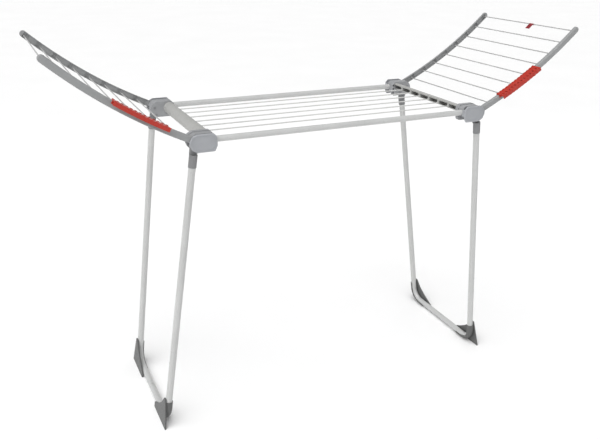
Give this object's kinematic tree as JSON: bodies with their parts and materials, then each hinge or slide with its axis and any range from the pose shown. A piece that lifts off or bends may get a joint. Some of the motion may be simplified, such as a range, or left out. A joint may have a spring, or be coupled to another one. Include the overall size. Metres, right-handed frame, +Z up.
{
  "type": "clothes drying rack",
  "caption": "Free-standing folding clothes drying rack with a wired centre panel, two curved fold-out wings and splayed U-shaped tube legs.",
  "frame": {"origin": "on the floor under the middle of the rack", "axes": "+X along the rails from the left wing to the right wing, +Y to the back, +Z up"},
  "size_m": [1.8206, 0.544, 1.2584],
  "materials": {
    "white_tube": "gloss white powder coat on steel tube",
    "white_wire": "white coated steel wire",
    "grey_wire": "light grey coated steel wire",
    "crossbar_plastic": "warm light grey moulded plastic",
    "housing_plastic": "mid grey moulded plastic",
    "cap_plastic": "mid grey moulded plastic, satin",
    "arm_plastic": "grey moulded plastic",
    "socket_plastic": "mid grey moulded plastic",
    "foot_plastic": "dark grey moulded plastic",
    "holder_red": "red moulded plastic",
    "label_red": "dark red film, blank",
    "pin_steel": "plain steel pin",
    "screw_steel": "zinc plated steel"
  },
  "bodies": {
    "panel": {"rail_front": "white_tube", "rail_back": "white_tube", "panel_wire_1": "white_wire", "panel_wire_2": "white_wire", "panel_wire_3": "white_wire", "panel_wire_4": "white_wire", "panel_wire_5": "white_wire", "panel_wire_6": "white_wire", "crossbar_left": "crossbar_plastic", "housing_left_front": "housing_plastic", "cap_left_front": "cap_plastic", "housing_left_back": "housing_plastic", "cap_left_back": "cap_plastic", "crossbar_right": "crossbar_plastic", "housing_right_front": "housing_plastic", "cap_right_front": "cap_plastic", "housing_right_back": "housing_plastic", "cap_right_back": "cap_plastic", "wing_pins": "pin_steel", "leg_pins": "pin_steel", "housing_screws": "screw_steel"},
    "wing_left": {"arm_left_front": "arm_plastic", "arm_left_back": "arm_plastic", "wing_wire_left_1": "grey_wire", "wing_wire_left_2": "grey_wire", "wing_wire_left_3": "grey_wire", "wing_wire_left_4": "grey_wire", "wing_wire_left_5": "grey_wire", "wing_wire_left_6": "grey_wire", "wing_wire_left_7": "grey_wire", "wing_wire_left_8": "grey_wire", "holder_left": "holder_red"},
    "legs_left": {"leg_tube_left": "white_tube", "leg_socket_left_front": "socket_plastic", "foot_left_front": "foot_plastic", "leg_socket_left_back": "socket_plastic", "foot_left_back": "foot_plastic", "leg_rivets_left": "screw_steel"},
    "wing_right": {"arm_right_front": "arm_plastic", "arm_right_back": "arm_plastic", "wing_wire_right_1": "grey_wire", "wing_wire_right_2": "grey_wire", "wing_wire_right_3": "grey_wire", "wing_wire_right_4": "grey_wire", "wing_wire_right_5": "grey_wire", "wing_wire_right_6": "grey_wire", "wing_wire_right_7": "grey_wire", "wing_wire_right_8": "grey_wire", "holder_right": "holder_red", "label_right": "label_red"},
    "legs_right": {"leg_tube_right": "white_tube", "leg_socket_right_front": "socket_plastic", "foot_right_front": "foot_plastic", "leg_socket_right_back": "socket_plastic", "foot_right_back": "foot_plastic", "leg_rivets_right": "screw_steel"}
  },
  "joints": [
    {"name": "leg_left_fold", "type": "hinge", "parent": "panel", "child": "legs_left", "pos_m": [-0.5025, 0, 0.9695], "axis": [0, -1, 0], "range_deg": [0, 96]},
    {"name": "leg_right_fold", "type": "hinge", "parent": "panel", "child": "legs_right", "pos_m": [0.5025, 0, 0.9695], "axis": [0, 1, 0], "range_deg": [0, 91]},
    {"name": "wing_left_fold", "type": "hinge", "parent": "panel", "child": "wing_left", "pos_m": [-0.507, 0, 0.9955], "axis": [0, 1, 0], "range_deg": [0, 142]},
    {"name": "wing_right_fold", "type": "hinge", "parent": "panel", "child": "wing_right", "pos_m": [0.507, 0, 0.9955], "axis": [0, -1, 0], "range_deg": [0, 142]}
  ]
}
